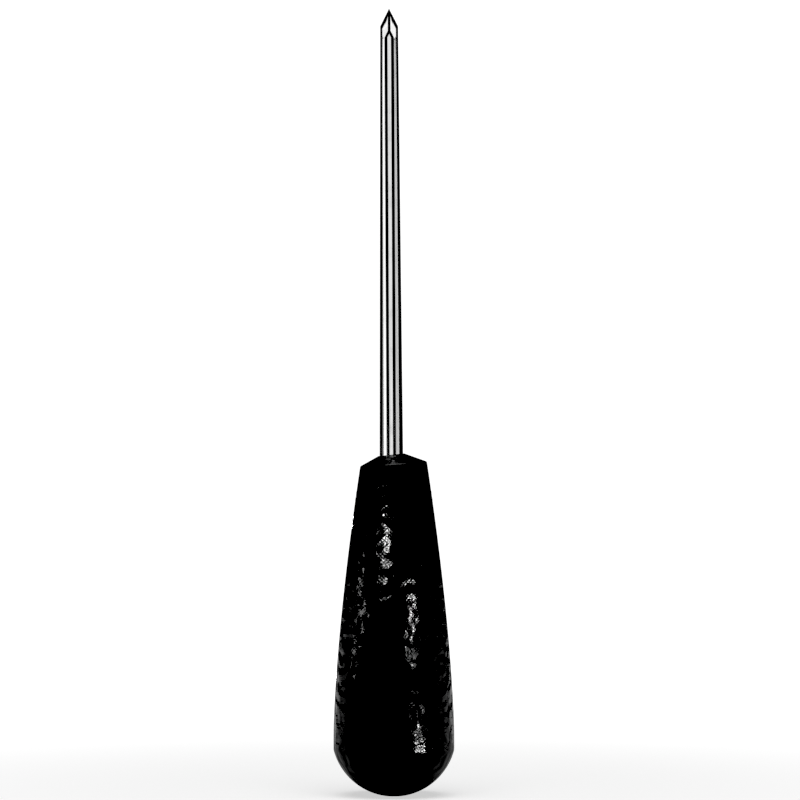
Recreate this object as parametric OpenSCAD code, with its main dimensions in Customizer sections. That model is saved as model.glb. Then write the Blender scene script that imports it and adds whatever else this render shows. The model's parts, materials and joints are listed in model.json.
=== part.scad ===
// Leatherworker's awl: a steel blade with ground flats, cemented and pinned into a black moulded grip.
// Millimetres. +Z is up, with the point at the top and the origin at the middle of the butt.
// X is the direction in which the blade sits a little off centre.

/* [Tool] */
// Length of the whole tool, from the butt to the point
tool_len = 200; // [170:1:230]

/* [Handle] */
// Widest diameter of the grip, a short cylindrical band above the dome
belly_d = 30.66; // [28:0.02:31]
// Height at which the widest band ends and the flank starts to taper
belly_top = 16; // [14:0.5:24]
// Diameter of the crisp rim between the flank and the conical nose
rim_d = 16.95; // [14:0.05:20]
// Height of that rim above the butt
rim_h = 84.2; // [82:0.1:86]
// How late the flank's taper sets in: 1 is a straight cone, more bulges further up
flank_power = 1.49; // [1:0.01:2]
// Radius of the sphere that the butt is turned to
dome_r = 15.85; // [15.5:0.05:17]
// Diameter of the small flat left at the middle of the butt
butt_flat_d = 5; // [3:0.5:8]

/* [Nose] */
// Slope of the conical nose, measured from the horizontal
nose_angle = 24.5; // [15:0.5:35]
// Height of the cone's virtual peak, on the blade's axis
nose_peak_h = 88.1; // [87:0.1:89.5]
// How far the nose is dressed out of square, falling towards -X
nose_skew = 4.9; // [0:0.1:8]

/* [Blade] */
// Diameter of the tapering bar at the nose's peak
bar_root_d = 5.94; // [5:0.02:6]
// Diameter of the bar at the shoulder of its point
bar_tip_d = 4.54; // [4:0.02:5]
// Width of the flat down the middle of the bar's front, and of its back
middle_flat_w = 1.7; // [0.8:0.05:2]
// Width of all three flats together, seen from the front: the bar's sides stay round
flats_span = 3.56; // [2.8:0.02:3.8]
// Angle by which a flank flat turns away from the middle one
flank_turn = 28; // [20:1:40]
// Length of the point along the ridges at its left and right
side_ridge_len = 4.45; // [3:0.05:8]
// Length of the point along the ridges at its front and back
front_ridge_len = 5.75; // [4:0.05:12]
// Distance of the blade's axis from the handle's, towards -X, at the nose
blade_offset = 0.65; // [0:0.05:1]
// Lean of the blade towards -X, in degrees
blade_lean = 0.3; // [0:0.05:1]

/* [Tang] */
// Length of full-width blade that sits inside the nose, down to the tang's shoulder
seat_len = 20; // [16:1:24]
// Length of the thin square tang below the shoulder
tang_len = 42; // [30:1:50]
// Side of the square tang at its shoulder
tang_root_w = 3.7; // [3:0.1:3.8]
// Side of the square tang at its lower end
tang_end_w = 2.6; // [2:0.1:3]

/* [Bore] */
// Diameter drilled for the blade's seat
seat_bore_d = 6.6; // [6.6:0.1:7.5]
// Diameter drilled for the tang
tang_bore_d = 5.4; // [5.4:0.1:6]
// Depth left below the tang's end, which the cement fills
bore_spare = 1.5; // [0.5:0.5:4]
// How far the cement stands below the nose's surface
cement_recess = 0.15; // [0.05:0.05:0.5]

/* [Pin] */
// Diameter of the cross pin
pin_d = 2.4; // [1.5:0.1:2.8]
// Depth of the cross pin's axis below the nose's peak
pin_depth = 12; // [9:0.5:14]

/* [Hidden] */

$fn = 96;
REACH = 260;          // larger than the tool, for the bodies that only cut
FLANK_STEPS = 18;     // straight stretches that follow the flank's curve
DRILL_SLOPE = 31;     // slope of a drill's 118 degree point, from the horizontal
PIN_OVERSHOOT = 40;   // a pin blank that runs out past the grip on both sides

dome_centre = sqrt(pow(dome_r, 2) - pow(butt_flat_d / 2, 2));
point_h = (tool_len - nose_peak_h) / cos(blade_lean);
shoulder_h = point_h - side_ridge_len;

// Radius of the grip at height h on the tapering flank.
function flank_r(h) =
    belly_d / 2 - (belly_d - rim_d) / 2 * pow((h - belly_top) / (rim_h - belly_top), flank_power);

// Depth, from the axis, at which the outer edge of a flank flat meets a round bar of diameter d.
function crease_depth(d) = sqrt(pow(d / 2, 2) - pow(flats_span / 2, 2));

// Distance of a flank flat from the axis of a bar of diameter d.
function flank_off(d) = flats_span / 2 * sin(flank_turn) + crease_depth(d) * cos(flank_turn);

// Distance of the middle flat from the axis of a bar of diameter d.
function middle_off(d) = crease_depth(d) + (flats_span - middle_flat_w) / 2 * tan(flank_turn);

// Slope at which a surface leans in as it goes from off root to off tip up the bar.
function taper_slope(root, tip) = atan((root - tip) / shoulder_h);

// Stands at the peak of the nose, with +Z up the blade's own axis.
module blade_frame() {
    translate([-blade_offset, 0, nose_peak_h])
        rotate([0, -blade_lean, 0])
            children();
}

// Everything outside a flat that faces azimuth, lies off from the axis at z = 0,
// and leans in by slope degrees as it rises.
module outside_flat(azimuth, off, slope) {
    rotate([0, 0, azimuth])
        translate([off, 0, 0])
            rotate([0, -slope, 0])
                translate([0, -REACH / 2, -REACH])
                    cube([REACH, REACH, 2 * REACH]);
}

// The grip's half outline: domed butt, widest band and bulging flank, run up past the rim.
module grip_outline() {
    step = (nose_peak_h - belly_top) / FLANK_STEPS;
    intersection() {
        polygon(concat(
            [[0, 0], [belly_d / 2, 0]],
            [for (i = [0:FLANK_STEPS]) [flank_r(belly_top + i * step), belly_top + i * step]],
            [[0, nose_peak_h]]
        ));
        union() {
            translate([0, dome_centre]) circle(r = dome_r, $fn = 192);
            translate([0, dome_centre]) square([belly_d, tool_len]);
        }
    }
}

// Everything under the skewed cone that the nose is dressed to, lowered by drop.
module under_nose(drop) {
    translate([-blade_offset, 0, nose_peak_h - drop])
        rotate([0, -nose_skew, 0])
            translate([0, 0, -REACH])
                cylinder(h = REACH, r1 = REACH / tan(nose_angle), r2 = 0);
}

// The stepped blind bore, in the blade's frame, from its drill point up past the nose.
module stepped_bore() {
    depth = seat_len + tang_len + bore_spare;
    drill_tip = tang_bore_d / 2 * tan(DRILL_SLOPE);
    translate([0, 0, -depth]) {
        cylinder(h = depth - seat_len, d = tang_bore_d);
        translate([0, 0, -drill_tip])
            cylinder(h = drill_tip, d1 = 0, d2 = tang_bore_d);
    }
    translate([0, 0, -seat_len - 0.5])
        cylinder(h = seat_len + 10, d = seat_bore_d);
}

// The cross hole through grip, cement and blade.
module pin_blank() {
    blade_frame()
        translate([0, 0, -pin_depth])
            rotate([0, 90, 0])
                cylinder(h = PIN_OVERSHOOT, d = pin_d, center = true, $fn = 48);
}

// Round bar, tapering upwards from the tang's shoulder, ground to three flats at the front and
// three at the back, and to a four-sided point with ridges at the front, back, left and right.
module flatted_bar() {
    taper = (bar_root_d - bar_tip_d) / 2 / shoulder_h;
    side_rise = bar_tip_d / 2 / side_ridge_len;
    front_rise = middle_off(bar_tip_d) / front_ridge_len;
    point_azimuth = atan2(side_rise, front_rise);
    point_slope = atan(1 / sqrt(pow(1 / side_rise, 2) + pow(1 / front_rise, 2)));
    difference() {
        translate([0, 0, -seat_len])
            cylinder(
                h = seat_len + point_h,
                r1 = bar_root_d / 2 + taper * seat_len,
                r2 = bar_root_d / 2 - taper * point_h
            );
        for (face = [-90, 90]) {
            outside_flat(face, middle_off(bar_root_d),
                taper_slope(middle_off(bar_root_d), middle_off(bar_tip_d)));
            for (turn = [-flank_turn, flank_turn])
                outside_flat(face + turn, flank_off(bar_root_d),
                    taper_slope(flank_off(bar_root_d), flank_off(bar_tip_d)));
        }
        for (side = [point_azimuth, 180 - point_azimuth, 180 + point_azimuth, -point_azimuth])
            translate([0, 0, point_h]) outside_flat(side, 0, point_slope);
    }
}

// Thin square tang, tapering downwards from the shoulder, its sides square to the front.
module square_tang() {
    slope = atan((tang_root_w - tang_end_w) / 2 / tang_len);
    difference() {
        translate([-tang_root_w, -tang_root_w, -seat_len - tang_len])
            cube([2 * tang_root_w, 2 * tang_root_w, tang_len + 1]);
        for (turn = [0:90:270])
            translate([0, 0, -seat_len]) outside_flat(turn, tang_root_w / 2, -slope);
    }
}

module handle() {
    color([0.05, 0.05, 0.05])
        difference() {
            intersection() {
                rotate_extrude() grip_outline();
                under_nose(0);
            }
            blade_frame() stepped_bore();
            pin_blank();
        }
}

module blade() {
    color([0.78, 0.79, 0.8])
        difference() {
            blade_frame() {
                flatted_bar();
                square_tang();
            }
            pin_blank();
        }
}

module tang_cement() {
    color([0.16, 0.15, 0.14])
        difference() {
            intersection() {
                blade_frame() stepped_bore();
                under_nose(cement_recess);
            }
            blade_frame() {
                flatted_bar();
                square_tang();
            }
            pin_blank();
        }
}

module tang_pin() {
    color([0.7, 0.71, 0.72])
        intersection() {
            pin_blank();
            rotate_extrude() grip_outline();
        }
}

handle();
blade();
tang_cement();
tang_pin();
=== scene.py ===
"""Looks for the awl: turned black grip, flatted steel blade, cement and cross pin, in a plain studio."""

import json
import math

import bmesh
import bpy
from mathutils import Matrix, Vector


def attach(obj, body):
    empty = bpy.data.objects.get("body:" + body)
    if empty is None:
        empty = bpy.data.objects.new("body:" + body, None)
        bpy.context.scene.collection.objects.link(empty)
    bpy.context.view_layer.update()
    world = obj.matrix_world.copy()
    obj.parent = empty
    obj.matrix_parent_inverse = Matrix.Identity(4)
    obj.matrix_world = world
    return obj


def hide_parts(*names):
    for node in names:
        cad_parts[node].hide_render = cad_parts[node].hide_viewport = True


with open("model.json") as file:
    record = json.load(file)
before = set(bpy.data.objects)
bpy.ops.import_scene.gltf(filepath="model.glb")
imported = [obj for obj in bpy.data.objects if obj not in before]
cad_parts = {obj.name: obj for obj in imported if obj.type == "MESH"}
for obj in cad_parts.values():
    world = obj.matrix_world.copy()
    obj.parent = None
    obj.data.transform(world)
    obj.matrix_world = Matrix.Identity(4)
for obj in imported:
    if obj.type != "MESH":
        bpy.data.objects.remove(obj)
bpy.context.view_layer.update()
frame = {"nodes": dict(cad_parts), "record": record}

MM = 0.001
DEG = math.pi / 180
FULL_TURN = 2 * math.pi
UP = Vector((0, 0, 1))


def mount(name):
    """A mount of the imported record, by name."""
    return next(m for m in frame["record"]["mounts"] if m["name"] == name)


# Grip. The belly's radius and the nose's peak come from the record.
BELLY_R = mount("belly_band")["dims"]["r_mm"] * MM
BELLY_TOP = 16 * MM
RIM_R = 8.475 * MM
RIM_H = 84.2 * MM
FLANK_POWER = 1.49
DOME_R = 15.85 * MM
BUTT_FLAT_R = 2.5 * MM
DOME_CENTRE = math.sqrt(DOME_R**2 - BUTT_FLAT_R**2)
NOSE_SLOPE = 24.5 * DEG
NOSE_SKEW = 4.9 * DEG
PEAK = Vector(mount("nose_seat")["pos_m"])
CORNER_SOFTNESS = 0.28 * MM  # how far the corners at the widest band and at the rim are rounded

# Bore, measured down the blade's axis from the peak.
SEAT_BORE_R = 3.3 * MM
TANG_BORE_R = 2.7 * MM
DRILL_END_R = TANG_BORE_R * 0.02
MOUTH_DEPTH = 4 * MM
SEAT_DEPTH = 20.5 * MM
BORE_DEPTH = 63.5 * MM
DRILL_TIP = TANG_BORE_R * math.tan(31 * DEG)

# Distances from the peak between which the nose's lines meet the flank, and the bore.
RIM_REACH = (4 * MM, 14 * MM)
MOUTH_REACH = (2 * MM, 6 * MM)

# Blade. Its axis runs from the nose's peak to the point.
TIP = Vector(mount("point")["pos_m"])
BLADE_AXIS = (TIP - PEAK).normalized()
POINT_H = (TIP - PEAK).length
BLADE_FRAME = Matrix.Translation(PEAK) @ UP.rotation_difference(BLADE_AXIS).to_matrix().to_4x4()
BAR_ROOT_R = 2.97 * MM
BAR_TIP_R = 2.27 * MM
MIDDLE_FLAT_W = 1.7 * MM
FLATS_SPAN = 3.56 * MM
FLANK_TURN = 28 * DEG
SIDE_RIDGE = 4.45 * MM
FRONT_RIDGE = 5.75 * MM
SHOULDER_H = POINT_H - SIDE_RIDGE
TANG_SHOULDER = -20 * MM
TANG_END = -62 * MM
TANG_END_CHAMFER = 0.4 * MM
TANG_ROOT_HALF = 1.85 * MM
TANG_END_HALF = 1.3 * MM
TANG_CORNER = 1.36  # reach of the tang's eased corners, as a share of its half width

# Fineness of the meshes. The rings stand close together on the blade's last stretch.
GRIP_COLUMNS = 144
DOME_STEPS = 20
FLANK_STEPS = 44
BLADE_COLUMNS = 240
BAR_STEPS = 56
POINT_STEPS = 96
POINT_STRETCH = 8.5 * MM
LAST_RING = 0.02 * MM  # distance of the last ring from the tip


# ---------------------------------------------------------------- mesh helpers


def lerp(a, b, t):
    """From a to b, that share of the way."""
    return a + (b - a) * t


def smoothstep(low, high, x):
    """0 below low, 1 above high, and a smooth rise between them."""
    t = min(max((x - low) / (high - low), 0.0), 1.0)
    return t * t * (3 - 2 * t)


def root(f, low, high):
    """Where f crosses zero between low, at which it is negative, and high."""
    halvings = 40
    for _ in range(halvings):
        middle = (low + high) / 2
        low, high = (middle, high) if f(middle) < 0 else (low, middle)
    return (low + high) / 2


def loop_edges(bm, verts):
    """The edges round one ring."""
    return [bm.edges.get(pair) for pair in zip(verts, verts[1:] + verts[:1])]


def grown_from(vert, fresh):
    """The one of the fresh vertices that an extrusion joined to vert."""
    neighbours = (edge.other_vert(vert) for edge in vert.link_edges)
    return next(other for other in neighbours if other in fresh)


def ring_tube(rings):
    """A tube drawn ring by ring from a circle, which each extrusion carries to the next ring of points.
    Returns the bmesh and, for each ring, its vertices. These all have a float layer for the painted shade
    along the blade's edges, still at 0."""
    bm = bmesh.new()
    bm.verts.layers.float.new("painted_edge_shade")
    first = bmesh.ops.create_circle(bm, segments=len(rings[0]), radius=1.0)["verts"]
    loops = [list(first)]
    for _ in rings[1:]:
        made = bmesh.ops.extrude_edge_only(bm, edges=loop_edges(bm, loops[-1]))["geom"]
        fresh = {v for v in made if isinstance(v, bmesh.types.BMVert)}
        loops.append([grown_from(v, fresh) for v in loops[-1]])
    for verts, points in zip(loops, rings):
        for v, point in zip(verts, points):
            v.co = point
    return bm, loops


def soften(bm, edges, width, segments=3):
    """Rounds the given edges over."""
    bmesh.ops.bevel(
        bm, geom=edges, offset=width, offset_type="OFFSET", segments=segments,
        profile=0.5, affect="EDGES", material=-1, clamp_overlap=True,
    )


def finish_piece(bm, name, material, smooth_angle=40 * DEG):
    """Closes the books on a bmesh: normals outwards, smooth faces, one material, linked to the scene."""
    bmesh.ops.recalc_face_normals(bm, faces=bm.faces)
    for face in bm.faces:
        face.smooth = True
    for edge in bm.edges:
        edge.smooth = len(edge.link_faces) < 2 or edge.calc_face_angle(0) < smooth_angle
    mesh = bpy.data.meshes.new(name)
    bm.to_mesh(mesh)
    bm.free()
    mesh.materials.append(material)
    piece = bpy.data.objects.new(name, mesh)
    bpy.context.scene.collection.objects.link(piece)
    return piece


# ---------------------------------------------------------------- grip


def flank_radius(h):
    """Radius of the grip's tapering flank at height h."""
    rise = max(h - BELLY_TOP, 0.0) / (RIM_H - BELLY_TOP)
    return BELLY_R - (BELLY_R - RIM_R) * rise**FLANK_POWER


def on_nose(turn, reach):
    """The point at that distance from the peak, down the skewed nose cone's line that faces turn."""
    outwards = math.cos(NOSE_SLOPE)
    line = Vector((math.cos(turn) * outwards, math.sin(turn) * outwards, -math.sin(NOSE_SLOPE)))
    return PEAK + reach * (Matrix.Rotation(-NOSE_SKEW, 3, "Y") @ line)


def off_blade_axis(point):
    """Distance of a point from the blade's axis."""
    return (point - PEAK).cross(BLADE_AXIS).length


def rim_point(turn):
    """Where the nose cone's line meets the flank."""

    def past_flank(reach):
        point = on_nose(turn, reach)
        return point.xy.length - flank_radius(point.z)

    return on_nose(turn, root(past_flank, *RIM_REACH))


def mouth_point(turn):
    """Where the nose cone's line meets the bore."""

    def past_bore(reach):
        return off_blade_axis(on_nose(turn, reach)) - SEAT_BORE_R

    return on_nose(turn, root(past_bore, *MOUTH_REACH))


def level_ring(headings, radius, height):
    """A level ring round the grip's axis."""
    return [Vector((radius * math.cos(a), radius * math.sin(a), height)) for a in headings]


def flank_ring(headings, rims, rise):
    """A ring on the flank, that share of the way up from the widest band to the skewed rim."""
    heights = [lerp(BELLY_TOP, rim.z, rise) for rim in rims]
    return [
        Vector((flank_radius(h) * math.cos(a), flank_radius(h) * math.sin(a), h))
        for a, h in zip(headings, heights)
    ]


def dome_rings(headings):
    """The butt's flat, and the dome up to the lower edge of the widest band."""
    pole = math.asin(BUTT_FLAT_R / DOME_R)
    corner = math.asin(BELLY_R / DOME_R)
    rings = [level_ring(headings, BUTT_FLAT_R * 0.6, 0.0)]
    for i in range(DOME_STEPS + 1):
        angle = lerp(pole, corner, i / DOME_STEPS)
        radius, height = DOME_R * math.sin(angle), DOME_CENTRE - DOME_R * math.cos(angle)
        rings.append(level_ring(headings, radius, height))
    return rings


def flank_rings(headings, rims):
    """The widest band, and the flank up to the rim, whose rings tilt gradually to follow the skewed rim.
    One more ring close under the rim keeps its corner crisp."""
    band_foot = DOME_CENTRE - math.sqrt(DOME_R**2 - BELLY_R**2)
    band_heights = [lerp(band_foot, BELLY_TOP, share) for share in (0.15, 0.5, 0.85)]
    band = [level_ring(headings, BELLY_R, height) for height in band_heights]
    close_under_rim = 1 - 0.35 / FLANK_STEPS
    rises = [i / FLANK_STEPS for i in range(FLANK_STEPS)] + [close_under_rim, 1.0]
    return band + [flank_ring(headings, rims, rise) for rise in rises]


def nose_rings(rims, mouths):
    """The nose cone, from the rim in to the bore's mouth."""
    return [
        [lerp(rim, mouth, share) for rim, mouth in zip(rims, mouths)]
        for share in (0.1, 0.3, 0.5, 0.7, 0.9, 1.0)
    ]


def bore_rings(mouths):
    """The stepped bore, from under its mouth to the drill's point, round the blade's own axis."""
    inverse = BLADE_FRAME.inverted()
    ways = [(inverse @ mouth).xy.normalized() for mouth in mouths]
    steps = (
        (SEAT_BORE_R, MOUTH_DEPTH),
        (SEAT_BORE_R, SEAT_DEPTH),
        (TANG_BORE_R, SEAT_DEPTH),
        (TANG_BORE_R, BORE_DEPTH),
        (DRILL_END_R, BORE_DEPTH + DRILL_TIP),
    )
    return [
        [BLADE_FRAME @ Vector((way.x * radius, way.y * radius, -depth)) for way in ways]
        for radius, depth in steps
    ]


def grip_rings():
    """The grip's rings from the butt, up the outside, over the nose and down the bore. Returns them with
    the places of the two crisp ones, at the widest band's lower edge and at the rim."""
    turns = [FULL_TURN * i / GRIP_COLUMNS for i in range(GRIP_COLUMNS)]
    rims = [rim_point(t) for t in turns]
    mouths = [mouth_point(t) for t in turns]
    headings = [math.atan2(rim.y, rim.x) for rim in rims]
    rings = dome_rings(headings)
    band_corner = len(rings) - 1
    rings += flank_rings(headings, rims)
    rim_corner = len(rings) - 1
    rings += nose_rings(rims, mouths)
    rings += bore_rings(mouths)
    return rings, (band_corner, rim_corner)


def build_grip(material):
    """The turned grip, bored for the blade and drilled across for the pin."""
    rings, corners = grip_rings()
    bm, loops = ring_tube(rings)
    bmesh.ops.contextual_create(bm, geom=loops[0])
    drill_end = sum((v.co for v in loops[-1]), Vector()) / GRIP_COLUMNS
    bmesh.ops.pointmerge(bm, verts=loops[-1], merge_co=drill_end)
    crisp = [edge for corner in corners for edge in loop_edges(bm, loops[corner])]
    soften(bm, crisp, CORNER_SOFTNESS)
    piece = finish_piece(bm, "turned_grip", material)
    cross_drill(piece)
    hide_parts("handle")
    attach(piece, "root")
    return piece


# ---------------------------------------------------------------- blade


def crease_depth(radius):
    """Depth at which a flank flat's outer edge meets a round bar of that radius."""
    return math.sqrt(radius**2 - (FLATS_SPAN / 2) ** 2)


def middle_off(radius):
    """Distance of the middle flat from the axis of a bar of that radius."""
    return crease_depth(radius) + (FLATS_SPAN - MIDDLE_FLAT_W) / 2 * math.tan(FLANK_TURN)


def flank_off(radius):
    """Distance of a flank flat from the axis of a bar of that radius."""
    return FLATS_SPAN / 2 * math.sin(FLANK_TURN) + crease_depth(radius) * math.cos(FLANK_TURN)


# The point's four faces, from the slopes of its side and front ridges: the turn from front or back at
# which each faces, and how fast each closes in on the axis.
SIDE_RISE = BAR_TIP_R / SIDE_RIDGE
FRONT_RISE = middle_off(BAR_TIP_R) / FRONT_RIDGE
POINT_TURN = math.atan2(1 / SIDE_RISE, 1 / FRONT_RISE)
POINT_RISE = 1 / math.hypot(1 / SIDE_RISE, 1 / FRONT_RISE)

# How wide the corners between the blade's faces are eased: fully on the bar, less and less to the tip.
EDGE_SOFTNESS = 0.16 * MM
TIP_SOFTNESS = 0.01 * MM
SOFTNESS_GAIN = 0.2

# Widths of the dark lines of painted shade along the ground edges: on the faces at the front and back, on
# those at the sides, and on the point's faces along the bar's outline.
FACE_LINE = 0.4 * MM
SIDE_LINE = 1.1 * MM
OUTLINE = 0.55 * MM
FACE_LINE_TURN = 35 * DEG
SIDE_LINE_TURN = 55 * DEG

NEARLY_PARALLEL = 0.1  # sine of the angle under which two faces share no edge worth a line
GRAZING = 0.05  # cosine past which a heading misses a face


def bar_faces(height):
    """The faces that bound the bar at that height above the peak, each as (turn from the front,
    distance), and the radius of the round bar that they are ground from."""
    rise = height / SHOULDER_H
    faces = [
        (0.0, lerp(middle_off(BAR_ROOT_R), middle_off(BAR_TIP_R), rise)),
        (FLANK_TURN, lerp(flank_off(BAR_ROOT_R), flank_off(BAR_TIP_R), rise)),
        (POINT_TURN, POINT_RISE * (POINT_H - height)),
    ]
    return faces, lerp(BAR_ROOT_R, BAR_TIP_R, rise)


def line_at(from_edge, width):
    """1 within a line of that width along an edge, 0 clear of it, with a short fade between."""
    return 1 - smoothstep(0.85, 1.15, from_edge / width)


def painted_edge_shade(turn, radius, facing, faces):
    """How much painted edge shade lies at that turn on the face called facing, from 0 to 1."""
    line = 0.0
    width = lerp(FACE_LINE, SIDE_LINE, smoothstep(FACE_LINE_TURN, SIDE_LINE_TURN, turn))
    for side, off in faces:
        apart = abs(math.sin(side - facing))
        if apart > NEARLY_PARALLEL:
            from_edge = (off - radius * math.cos(turn - side)) / apart
            line = max(line, line_at(from_edge, width))
    return line


def bar_section(turn, height):
    """(radius, how much painted edge shade lies there) on the bar, at a turn from the front within a
    quarter."""
    faces, round_r = bar_faces(height)
    faces = [(side, off) for facing, off in faces for side in {facing, -facing, math.pi - facing}]
    reaches = [
        (off / math.cos(turn - side), side)
        for side, off in faces if math.cos(turn - side) > GRAZING
    ]
    reaches.sort()
    (near, facing), (far, _) = reaches[:2]
    line = 0.0
    # Painted shade: dark lines along the ground edges, and along the bar's outline on the point's faces.
    if near < round_r:
        line = painted_edge_shade(turn, near, facing, faces)
        if facing == POINT_TURN:
            from_outline = round_r - near * math.sin(turn)
            line = max(line, line_at(from_outline, OUTLINE))
    near, far = sorted((near, far, round_r))[:2]
    softness = min(EDGE_SOFTNESS, SOFTNESS_GAIN * (POINT_H - height) + TIP_SOFTNESS)
    blend = max(softness - (far - near), 0) / softness
    return near - blend * blend * softness / 4, line


def tang_radius(turn, height):
    """Radius of the square tang, whose corners are eased."""
    half = lerp(TANG_ROOT_HALF, TANG_END_HALF, (TANG_SHOULDER - height) / (TANG_SHOULDER - TANG_END))
    return min(half / max(abs(math.cos(turn)), abs(math.sin(turn))), half * TANG_CORNER)


def quarter_turn(turn):
    """A heading's turn from the nearer of front and back, as 0 to a right angle."""
    from_front = abs((turn + math.pi / 2 + math.pi) % FULL_TURN - math.pi)
    return min(from_front, math.pi - from_front)


def blade_stations():
    """Heights of the bar's rings above the peak: wide apart on the bar, close together on the point."""
    foot = POINT_H - POINT_STRETCH
    bar = [lerp(TANG_SHOULDER, foot, i / BAR_STEPS) for i in range(BAR_STEPS)]
    point = [lerp(foot, POINT_H - LAST_RING, i / POINT_STEPS) for i in range(POINT_STEPS + 1)]
    return bar + point


def blade_ring(turns, radii, height):
    """A ring round the blade's axis, in the blade's frame."""
    return [Vector((math.cos(t) * r, math.sin(t) * r, height)) for t, r in zip(turns, radii)]


def build_blade(material):
    """The blade with its tang, ground and pointed, its lines of painted edge shade marked, drilled across
    for the pin.
    """
    turns = [FULL_TURN * (i + 0.5) / BLADE_COLUMNS for i in range(BLADE_COLUMNS)]
    quarters = [quarter_turn(t) for t in turns]
    rings, lines = [], []
    tang_stations = (
        (TANG_END, 0.75),
        (TANG_END + TANG_END_CHAMFER, 1.0),
        (TANG_SHOULDER, 1.0),
    )
    for height, scale in tang_stations:
        rings.append(blade_ring(turns, [tang_radius(t, height) * scale for t in turns], height))
        lines.append([0.0] * BLADE_COLUMNS)
    for height in blade_stations():
        sections = [bar_section(q, height) for q in quarters]
        rings.append(blade_ring(turns, [radius for radius, _ in sections], height))
        lines.append([line for _, line in sections])
    bm, loops = ring_tube(rings)
    # Each vertex keeps its share of the painted shade along the edges.
    shade_layer = bm.verts.layers.float["painted_edge_shade"]
    for verts, values in zip(loops, lines):
        for v, value in zip(verts, values):
            v[shade_layer] = value
    bmesh.ops.contextual_create(bm, geom=loops[0])
    bmesh.ops.pointmerge(bm, verts=loops[-1], merge_co=Vector((0, 0, POINT_H)))
    bmesh.ops.transform(bm, matrix=BLADE_FRAME, verts=bm.verts)
    piece = finish_piece(bm, "ground_blade", material, smooth_angle=60 * DEG)
    cross_drill(piece)
    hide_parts("blade")
    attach(piece, "root")
    return piece


# ---------------------------------------------------------------- pin

PIN_R = 1.2 * MM
PIN_DEPTH = 12 * MM
PIN_PROUD = 0.06 * MM
PIN_LENGTH = 19.6 * MM  # of the blank, before its ends are filed to the flank's slope
PIN_CHAMFER = 0.12 * MM
DRILL_LENGTH = 40 * MM
CROSSWISE = Matrix.Rotation(math.pi / 2, 4, "Y")


def rod(radius, length):
    """A round rod along the cross hole, centred on the blade's axis. Returns the bmesh and its two end
    faces."""
    bm = bmesh.new()
    bmesh.ops.create_cone(bm, cap_ends=True, segments=64, radius1=radius, radius2=radius, depth=length)
    place = BLADE_FRAME @ Matrix.Translation((0, 0, -PIN_DEPTH)) @ CROSSWISE
    bmesh.ops.transform(bm, matrix=place, verts=bm.verts)
    return bm, [face for face in bm.faces if len(face.verts) > 4]


def cross_drill(piece):
    """Drills the pin's cross hole through a piece."""
    bm, _ = rod(PIN_R, DRILL_LENGTH)
    mesh = bpy.data.meshes.new("drill")
    bm.to_mesh(mesh)
    bm.free()
    drill = bpy.data.objects.new("drill", mesh)
    bpy.context.scene.collection.objects.link(drill)
    cut = piece.modifiers.new("cross_hole", "BOOLEAN")
    cut.operation = "DIFFERENCE"
    cut.object = drill
    seen = piece.evaluated_get(bpy.context.evaluated_depsgraph_get())
    drilled = bpy.data.meshes.new_from_object(seen)
    piece.modifiers.clear()
    piece.data = drilled
    bpy.data.objects.remove(drill)


def build_pin(material):
    """The pin, its ends filed to the flank's slope with a small chamfer, a hair proud of the grip."""
    bm, ends = rod(PIN_R, PIN_LENGTH)
    for v in bm.verts:
        flank = flank_radius(v.co.z) + PIN_PROUD
        v.co.x = math.copysign(math.sqrt(flank**2 - v.co.y**2), v.co.x)
    rims = [edge for face in ends for edge in face.edges]
    soften(bm, rims, PIN_CHAMFER)
    piece = finish_piece(bm, "cross_pin", material)
    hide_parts("tang_pin")
    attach(piece, "root")
    return piece


# ---------------------------------------------------------------- node helpers


def node(tree, kind, **settings):
    """Adds a node, sets its properties by name and its input sockets from the dict called inputs."""
    made = tree.nodes.new(kind)
    for socket, value in settings.pop("inputs", {}).items():
        made.inputs[socket].default_value = value
    for key, value in settings.items():
        setattr(made, key, value)
    return made


def link(tree, source, target):
    """Joins an output socket to an input socket."""
    tree.links.new(source, target)


def new_group(name, inputs, outputs):
    """A shader node group with float or vector inputs and float outputs. Returns it with its two end
    nodes."""
    group = bpy.data.node_groups.new(name, "ShaderNodeTree")
    for label, kind, default in inputs:
        socket = group.interface.new_socket(name=label, in_out="INPUT", socket_type=kind)
        if default is not None:
            socket.default_value = default
    for label in outputs:
        group.interface.new_socket(name=label, in_out="OUTPUT", socket_type="NodeSocketFloat")
    return group, group.nodes.new("NodeGroupInput"), group.nodes.new("NodeGroupOutput")


def place_group(tree, group, vector, **values):
    """Places a group in a material, feeds its Vector and sets its other inputs by name."""
    made = tree.nodes.new("ShaderNodeGroup")
    made.node_tree = group
    link(tree, vector, made.inputs["Vector"])
    for label, value in values.items():
        made.inputs[label].default_value = value
    return made


def object_coordinates(tree):
    """The coordinates that stay with a piece as it moves."""
    return node(tree, "ShaderNodeTexCoord").outputs["Object"]


def math_node(tree, operation, a, b=None, clamp=False):
    """A Math node on sockets or numbers. Returns its output."""
    made = node(tree, "ShaderNodeMath", operation=operation, use_clamp=clamp)
    for slot, value in enumerate((a, b)):
        if isinstance(value, (int, float)):
            made.inputs[slot].default_value = value
        elif value is not None:
            link(tree, value, made.inputs[slot])
    return made.outputs[0]


def remap(tree, value, low, high, to_low, to_high):
    """Takes low..high to to_low..to_high, with soft ends."""
    made = node(tree, "ShaderNodeMapRange", interpolation_type="SMOOTHSTEP")
    for slot, number in zip((1, 2, 3, 4), (low, high, to_low, to_high)):
        made.inputs[slot].default_value = number
    link(tree, value, made.inputs[0])
    return made.outputs[0]


def grey(level):
    """A neutral colour of that level."""
    return (level, level, level, 1.0)


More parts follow.
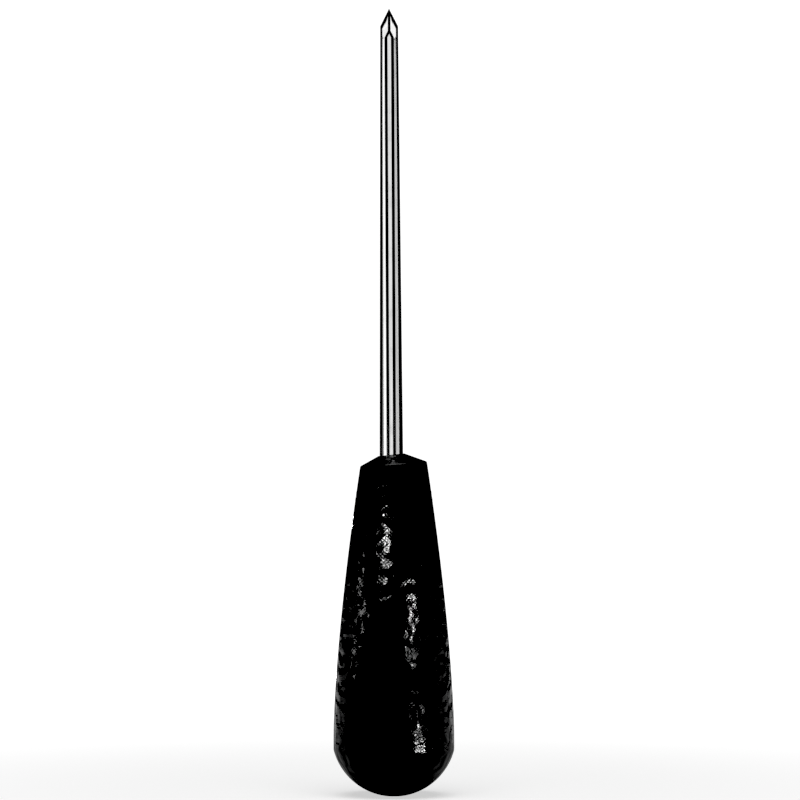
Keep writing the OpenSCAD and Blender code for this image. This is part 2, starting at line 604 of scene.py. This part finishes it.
def mix_grey(tree, factor, at_0, at_1):
    """A colour between two greys: the first where the factor is 0, the second where it is 1."""
    made = node(tree, "ShaderNodeMix", data_type="RGBA")
    made.inputs["A"].default_value = grey(at_0)
    made.inputs["B"].default_value = grey(at_1)
    link(tree, factor, made.inputs["Factor"])
    return made.outputs["Result"]


def darken(tree, colour, mask, level):
    """The colour, taken to a grey level where the mask is 1."""
    made = node(tree, "ShaderNodeMix", data_type="RGBA")
    link(tree, colour, made.inputs["A"])
    made.inputs["B"].default_value = grey(level)
    link(tree, mask, made.inputs["Factor"])
    return made.outputs["Result"]


def new_material(name):
    """A new material. Returns it with its tree and its Principled shader."""
    material = bpy.data.materials.new(name)
    material.use_nodes = True
    tree = material.node_tree
    return material, tree, tree.nodes["Principled BSDF"]


def bump(tree, shader, height, distance, strength=1.0):
    """Feeds a height to the shader's Normal."""
    made = node(tree, "ShaderNodeBump", inputs={"Strength": strength, "Distance": distance})
    link(tree, height, made.inputs["Height"])
    link(tree, made.outputs["Normal"], shader.inputs["Normal"])


# ---------------------------------------------------------------- shared effects


def scratch_group():
    """Fine scratches, drawn out along Z where Stretch is small: Mask rises to Amount in a scratch, and
    Streak is the whole uneven grain."""
    threshold, gain = 0.62, 9.0
    group, ends_in, ends_out = new_group(
        "fine_scratches",
        [
            ("Vector", "NodeSocketVector", None),
            ("Scale", "NodeSocketFloat", 900.0),
            ("Stretch", "NodeSocketFloat", 0.02),
            ("Amount", "NodeSocketFloat", 0.3),
        ],
        ["Mask", "Streak"],
    )
    squeeze = node(group, "ShaderNodeCombineXYZ", inputs={"X": 1.0, "Y": 1.0})
    link(group, ends_in.outputs["Stretch"], squeeze.inputs["Z"])
    drawn = node(group, "ShaderNodeVectorMath", operation="MULTIPLY")
    link(group, ends_in.outputs["Vector"], drawn.inputs[0])
    link(group, squeeze.outputs[0], drawn.inputs[1])
    noise = node(group, "ShaderNodeTexNoise", inputs={"Detail": 3.0, "Roughness": 0.65})
    link(group, drawn.outputs[0], noise.inputs["Vector"])
    link(group, ends_in.outputs["Scale"], noise.inputs["Scale"])
    above = math_node(group, "SUBTRACT", noise.outputs["Fac"], threshold)
    scratch = math_node(group, "MULTIPLY", above, gain, clamp=True)
    mask = math_node(group, "MULTIPLY", scratch, ends_in.outputs["Amount"])
    link(group, mask, ends_out.inputs["Mask"])
    link(group, noise.outputs["Fac"], ends_out.inputs["Streak"])
    return group


def cloud_group():
    """Soft uneven patches, from handling and polishing: Patches runs from 0 to 1."""
    group, ends_in, ends_out = new_group(
        "handling_clouds",
        [
            ("Vector", "NodeSocketVector", None),
            ("Scale", "NodeSocketFloat", 120.0),
            ("Low", "NodeSocketFloat", 0.4),
            ("High", "NodeSocketFloat", 0.6),
        ],
        ["Patches"],
    )
    noise = node(group, "ShaderNodeTexNoise", inputs={"Detail": 4.0, "Roughness": 0.6, "Distortion": 0.4})
    link(group, ends_in.outputs["Vector"], noise.inputs["Vector"])
    link(group, ends_in.outputs["Scale"], noise.inputs["Scale"])
    spread = node(group, "ShaderNodeMapRange", interpolation_type="SMOOTHSTEP")
    link(group, noise.outputs["Fac"], spread.inputs[0])
    link(group, ends_in.outputs["Low"], spread.inputs[1])
    link(group, ends_in.outputs["High"], spread.inputs[2])
    link(group, spread.outputs[0], ends_out.inputs["Patches"])
    return group


def weave_group():
    """Cloth set in resin, in layers across Y, its threads at 45 degrees. Height is the threads' relief,
    and Layers runs from 0 to 1 through each layer."""
    one_thread = 4.443  # pi times the root of 2: one wave per Thread, measured square across the threads
    layer_stride, most_shift = 12.9898, 3.1  # so that the threads of neighbouring layers don't line up
    group, ends_in, ends_out = new_group(
        "cloth_weave",
        [
            ("Vector", "NodeSocketVector", None),
            ("Thread", "NodeSocketFloat", 0.0005),
            ("Layer", "NodeSocketFloat", 0.0004),
        ],
        ["Height", "Layers"],
    )
    parts = node(group, "ShaderNodeSeparateXYZ")
    link(group, ends_in.outputs["Vector"], parts.inputs[0])
    step = math_node(group, "DIVIDE", parts.outputs["Y"], ends_in.outputs["Layer"])
    layer = math_node(group, "FLOOR", step)
    uneven = math_node(group, "SINE", math_node(group, "MULTIPLY", layer, layer_stride))
    shift = math_node(group, "MULTIPLY", uneven, most_shift)
    waves = []
    for operation in ("ADD", "SUBTRACT"):
        across = math_node(group, operation, parts.outputs["X"], parts.outputs["Z"])
        threads = math_node(group, "DIVIDE", across, ends_in.outputs["Thread"])
        phase = math_node(group, "ADD", math_node(group, "MULTIPLY", threads, one_thread), shift)
        waves.append(math_node(group, "SINE", phase))
    relief = math_node(group, "MAXIMUM", waves[0], waves[1])
    link(group, relief, ends_out.inputs["Height"])
    link(group, math_node(group, "FRACT", step), ends_out.inputs["Layers"])
    return group


def scaled_noise(group, ends_in, factor, detail):
    """A noise of the group's Scale times a factor."""
    noise = node(group, "ShaderNodeTexNoise", inputs={"Detail": detail})
    link(group, ends_in.outputs["Vector"], noise.inputs["Vector"])
    link(group, math_node(group, "MULTIPLY", ends_in.outputs["Scale"], factor), noise.inputs["Scale"])
    return noise.outputs["Fac"]


def polish_group():
    """Winding ridges, broken up unevenly, and small beads, all polished by handling: Mask is 1 on them.
    Height is the soft relief along whose middle level the ridges wind."""
    group, ends_in, ends_out = new_group(
        "polished_ridges",
        [
            ("Vector", "NodeSocketVector", None),
            ("Scale", "NodeSocketFloat", 350.0),
            ("Width", "NodeSocketFloat", 0.05),
        ],
        ["Mask", "Height"],
    )
    noise = node(group, "ShaderNodeTexNoise", inputs={"Detail": 0.3, "Roughness": 0.5, "Distortion": 0.2})
    link(group, ends_in.outputs["Vector"], noise.inputs["Vector"])
    link(group, ends_in.outputs["Scale"], noise.inputs["Scale"])
    off_ridge = math_node(group, "ABSOLUTE", math_node(group, "SUBTRACT", noise.outputs["Fac"], 0.5))
    share = math_node(group, "DIVIDE", off_ridge, ends_in.outputs["Width"])
    ridge = remap(group, share, 0.5, 1.3, 1.0, 0.0)
    broken = remap(group, scaled_noise(group, ends_in, 1.7, 2.0), 0.42, 0.58, 0.0, 1.0)
    bead = remap(group, scaled_noise(group, ends_in, 2.1, 0.0), 0.6, 0.66, 0.0, 1.0)
    mask = math_node(group, "MAXIMUM", math_node(group, "MULTIPLY", ridge, broken), bead)
    link(group, mask, ends_out.inputs["Mask"])
    link(group, noise.outputs["Fac"], ends_out.inputs["Height"])
    return group


POLISH = polish_group()
SCRATCHES = scratch_group()
CLOUDS = cloud_group()
WEAVE = weave_group()


# ---------------------------------------------------------------- materials


def blade_steel():
    """Ground and polished stainless steel: streaks along the blade, and near black, duller lines of
    painted shade along its edges.
    """
    # The third grey is painted shade: the near black of the lines along the blade's edges.
    bright, streaked, painted_shade_grey = 0.72, 0.62, 0.012
    polished, hazy = 0.10, 0.17
    scratched_by, lined_by = 0.12, 0.2
    material, tree, shader = new_material("polished_ground_steel")
    place = object_coordinates(tree)
    grain = place_group(tree, SCRATCHES, place, Scale=2600.0, Stretch=0.012, Amount=0.5)
    haze = place_group(tree, CLOUDS, place, Scale=260.0, Low=0.42, High=0.7)
    # The edge lines are painted shade, in place of the dark that the polished edges and sides would
    # mirror.
    line = node(tree, "ShaderNodeAttribute", attribute_name="painted_edge_shade").outputs["Fac"]
    base = mix_grey(tree, remap(tree, grain.outputs["Streak"], 0.35, 0.7, 0.0, 1.0), bright, streaked)
    link(tree, darken(tree, base, line, painted_shade_grey), shader.inputs["Base Color"])
    rough = remap(tree, haze.outputs["Patches"], 0.0, 1.0, polished, hazy)
    rough = math_node(tree, "ADD", rough, math_node(tree, "MULTIPLY", grain.outputs["Mask"], scratched_by))
    rough = math_node(tree, "ADD", rough, math_node(tree, "MULTIPLY", line, lined_by))
    link(tree, rough, shader.inputs["Roughness"])
    shader.inputs["Metallic"].default_value = 1.0
    bump(tree, shader, grain.outputs["Streak"], 0.004 * MM, 0.5)
    return material


def grip_resin():
    """Black cloth-filled phenolic, glossy: a soft relief breaks its highlights up, the weave shows
    faintly in them, and the ridges and beads are polished a little smoother."""
    turned, polished, marked_by = 0.18, 0.12, 0.08
    weave_relief = 0.016
    material, tree, shader = new_material("black_cloth_phenolic")
    place = object_coordinates(tree)
    weave = place_group(tree, WEAVE, place, Thread=0.7 * MM, Layer=0.42 * MM)
    polish = place_group(tree, POLISH, place, Scale=400.0, Width=0.07)
    marks = place_group(tree, SCRATCHES, place, Scale=700.0, Stretch=0.9, Amount=0.6)
    link(tree, mix_grey(tree, weave.outputs["Layers"], 0.002, 0.004), shader.inputs["Base Color"])
    rough = remap(tree, polish.outputs["Mask"], 0.0, 1.0, turned, polished)
    rough = math_node(tree, "ADD", rough, math_node(tree, "MULTIPLY", marks.outputs["Mask"], marked_by))
    link(tree, rough, shader.inputs["Roughness"])
    shader.inputs["Specular IOR Level"].default_value = 0.25
    threads = math_node(tree, "MULTIPLY", weave.outputs["Height"], weave_relief)
    bump(tree, shader, math_node(tree, "ADD", threads, polish.outputs["Height"]), 0.5 * MM)
    return material


def cement_resin():
    """Dull cured epoxy, slightly pitted."""
    material, tree, shader = new_material("cured_epoxy")
    place = object_coordinates(tree)
    pits = place_group(tree, CLOUDS, place, Scale=1500.0, Low=0.4, High=0.65)
    link(tree, mix_grey(tree, pits.outputs["Patches"], 0.02, 0.035), shader.inputs["Base Color"])
    link(tree, remap(tree, pits.outputs["Patches"], 0.0, 1.0, 0.5, 0.7), shader.inputs["Roughness"])
    bump(tree, shader, pits.outputs["Patches"], 0.03 * MM, 0.6)
    return material


def pin_steel():
    """Steel pin, filed at its ends."""
    material, tree, shader = new_material("filed_pin_steel")
    place = object_coordinates(tree)
    filed = place_group(tree, SCRATCHES, place, Scale=3200.0, Stretch=0.05, Amount=0.7)
    link(tree, mix_grey(tree, filed.outputs["Streak"], 0.6, 0.45), shader.inputs["Base Color"])
    link(tree, remap(tree, filed.outputs["Streak"], 0.3, 0.7, 0.25, 0.42), shader.inputs["Roughness"])
    shader.inputs["Metallic"].default_value = 1.0
    bump(tree, shader, filed.outputs["Streak"], 0.01 * MM, 0.5)
    return material


# ---------------------------------------------------------------- studio


def white_world():
    """A white surround for the camera, near black for reflections, so that polished edges read dark."""
    white, nearly_black = 1.15, 0.008
    world = bpy.data.worlds.new("studio")
    bpy.context.scene.world = world
    world.use_nodes = True
    tree = world.node_tree
    tree.nodes.clear()
    path = node(tree, "ShaderNodeLightPath")
    seen = node(tree, "ShaderNodeBackground", inputs={"Color": grey(1.0), "Strength": white})
    around = node(tree, "ShaderNodeBackground", inputs={"Color": grey(1.0), "Strength": nearly_black})
    mix = node(tree, "ShaderNodeMixShader")
    out = node(tree, "ShaderNodeOutputWorld")
    link(tree, path.outputs["Is Camera Ray"], mix.inputs[0])
    link(tree, around.outputs[0], mix.inputs[1])
    link(tree, seen.outputs[0], mix.inputs[2])
    link(tree, mix.outputs[0], out.inputs["Surface"])


def pale_floor():
    """A plain pale floor that still takes a soft shadow. To the camera it glows ever whiter away from
    the tool, so that it meets the white surround without a line. To reflections it glows only in a
    wide ring round the tool, neither close by nor far out."""
    floor_radius = 6.0
    material, tree, shader = new_material("floor_paper")
    shader.inputs["Base Color"].default_value = grey(0.55)
    shader.inputs["Roughness"].default_value = 0.9
    shader.inputs["Specular IOR Level"].default_value = 0.1
    shader.inputs["Emission Color"].default_value = grey(1.0)
    path = node(tree, "ShaderNodeLightPath")
    away = node(tree, "ShaderNodeVectorMath", operation="LENGTH")
    link(tree, object_coordinates(tree), away.inputs[0])
    distance = away.outputs["Value"]
    to_camera = remap(tree, distance, 0.04, 0.5, 0.6, 1.1)
    ring_start = remap(tree, distance, 0.15, 0.25, 0.0, 1.0)
    ring_end = remap(tree, distance, 0.6, 1.1, 0.38, 0.0)
    to_others = math_node(tree, "MULTIPLY", ring_start, ring_end)
    strength = node(tree, "ShaderNodeMix")
    link(tree, path.outputs["Is Camera Ray"], strength.inputs["Factor"])
    link(tree, to_others, strength.inputs["A"])
    link(tree, to_camera, strength.inputs["B"])
    link(tree, strength.outputs["Result"], shader.inputs["Emission Strength"])
    bm = bmesh.new()
    bmesh.ops.create_circle(bm, cap_ends=True, segments=96, radius=floor_radius)
    mesh = bpy.data.meshes.new("studio_floor")
    bm.to_mesh(mesh)
    bm.free()
    mesh.materials.append(material)
    floor = bpy.data.objects.new("studio_floor", mesh)
    bpy.context.scene.collection.objects.link(floor)


def flagged(name, pieces):
    """The collection of pieces that a lamp with black flags may light."""
    group = bpy.data.collections.new(name)
    for piece in pieces:
        group.objects.link(piece)
    return group


def area_lamp(name, place, away, width, height, radiance, only):
    """A rectangular lamp at a place, facing against the direction away. Its power follows from the
    radiance wanted. With only, a collection, black flags keep its light off everything else."""
    lamp = bpy.data.lights.new(name, "AREA")
    lamp.shape = "RECTANGLE"
    lamp.size = width
    lamp.size_y = height
    lamp.energy = radiance * math.pi * width * height
    light = bpy.data.objects.new(name, lamp)
    light.location = place
    light.rotation_euler = away.to_track_quat("Z", "Y").to_euler()
    light.visible_camera = False
    light.light_linking.receiver_collection = only
    bpy.context.scene.collection.objects.link(light)


def softbox(name, azimuth, elevation, distance, width, height, radiance, only=None):
    """A lamp that faces the middle of the tool, seen from there at that azimuth (0 is the camera's side,
    positive to the right) and elevation, both in degrees."""
    aim = Vector((0, 0, 0.12))
    a, e = azimuth * DEG, elevation * DEG
    away = Vector((math.cos(e) * math.sin(a), -math.cos(e) * math.cos(a), math.sin(e)))
    area_lamp(name, aim + distance * away, away, width, height, radiance, only)


def accent(name, spot_height, side, reach, width, height, radiance, only, turned=0):
    """A small lamp at that reach from the grip, placed where the grip's smooth surface would mirror it
    to the camera from that height and that far to the side, as a share of the flank's radius there.
    Then turned by so many degrees about the grip's axis, for an eye that has walked as far round."""
    radius = flank_radius(spot_height)
    drop = flank_radius(spot_height - MM) - flank_radius(spot_height + MM)
    slope = math.atan(drop / (2 * MM))
    front = math.cos(math.asin(side))
    spot = Vector((radius * side, -radius * front, spot_height))
    out = Vector((side * math.cos(slope), -front * math.cos(slope), math.sin(slope)))
    to_camera = (bpy.context.scene.camera.location - spot).normalized()
    away = (2 * out.dot(to_camera) * out - to_camera).normalized()
    walk = Matrix.Rotation(turned * DEG, 3, "Z")
    area_lamp(name, walk @ (spot + reach * away), walk @ away, width, height, radiance, only)


def studio_lights(grip, steel):
    """One overhead lamp for everything, softboxes that only the steel mirrors, and small lamps that only
    the grip mirrors. All take width, height and radiance after their place."""
    on_grip = flagged("grip_light", grip)
    on_steel = flagged("steel_light", steel)

    # Placed by azimuth, elevation and distance.
    softbox("overhead", 0, 75, 1.1, 1.0, 1.0, 3.4)
    softbox("left_softbox", -61, 20, 0.9, 0.39, 1.1, 1.45, on_steel)
    softbox("left_fade", -84, 5, 0.9, 0.3, 0.5, 0.18, on_steel)
    softbox("left_fall", -98, -1, 0.9, 0.18, 0.12, 0.13, on_steel)
    softbox("right_softbox", 66, 30, 0.9, 0.3, 0.3, 1.45, on_steel)
    softbox("right_reflector", 56, 3, 0.9, 0.2, 0.36, 0.8, on_steel)
    softbox("front_fill", 0, 5, 1.6, 0.42, 0.8, 1.12, on_steel)
    softbox("right_side_reflector", 69, 2, 0.9, 0.19, 0.3, 0.9, on_steel)
    softbox("left_rear_strip", -155, 5, 0.9, 0.1, 0.7, 0.25, on_steel)
    softbox("right_rear_strip", 155, 5, 0.9, 0.1, 0.7, 0.25, on_steel)

    # Placed by the height and side of the highlight, and the reach from there.
    accent("left_accent", 64 * MM, -0.2, 0.035, 0.008, 0.002, 190.0, on_grip)
    accent("right_accent", 46 * MM, 0.34, 0.035, 0.006, 0.002, 150.0, on_grip)
    accent("right_lower_accent", 38 * MM, 0.34, 0.03, 0.004, 0.002, 30.0, on_grip)
    accent("low_accent", 13.5 * MM, 0.43, 0.025, 0.003, 0.002, 130.0, on_grip)
    accent("low_upper_accent", 20 * MM, 0.4, 0.03, 0.004, 0.002, 40.0, on_grip)
    accent("far_left_high_accent", 55 * MM, -0.68, 0.035, 0.004, 0.002, 30.0, on_grip)
    accent("far_left_accent", 45 * MM, -0.6, 0.03, 0.003, 0.002, 40.0, on_grip)
    accent("far_left_low_accent", 36 * MM, -0.72, 0.035, 0.004, 0.002, 22.0, on_grip)
    accent("back_accent", 62 * MM, -0.2, 0.035, 0.008, 0.003, 30.0, on_grip, turned=-142)
    accent("back_low_accent", 26 * MM, -0.2, 0.035, 0.008, 0.003, 30.0, on_grip, turned=-142)


def print_contrast():
    """A hard, graphic print: the deepest tones fall to black."""
    deepest = 0.02
    view = bpy.context.scene.view_settings
    view.view_transform = "Standard"
    view.use_curve_mapping = True
    view.curve_mapping.black_level = (deepest, deepest, deepest)
    view.curve_mapping.update()


def camera():
    """Square on to the tool, from far enough away to keep its lines parallel."""
    view_height = 203.3 * MM
    aim_x, aim_z = 1.55 * MM, 100.5 * MM
    data = bpy.data.cameras.new("camera")
    data.lens = 200.0
    data.sensor_width = 36.0
    data.clip_end = 20.0
    eye = bpy.data.objects.new("camera", data)
    distance = view_height / data.sensor_width * data.lens
    eye.location = (aim_x, -distance, aim_z)
    eye.rotation_euler = (90 * DEG, 0, 0)
    bpy.context.scene.collection.objects.link(eye)
    bpy.context.scene.camera = eye


# ---------------------------------------------------------------- assembly

camera()
grip = build_grip(grip_resin())
blade = build_blade(blade_steel())
pin = build_pin(pin_steel())
cement = frame["nodes"]["tang_cement"]
cement.data.materials.clear()
cement.data.materials.append(cement_resin())

white_world()
pale_floor()
studio_lights([grip, cement], [blade, pin])
print_contrast()
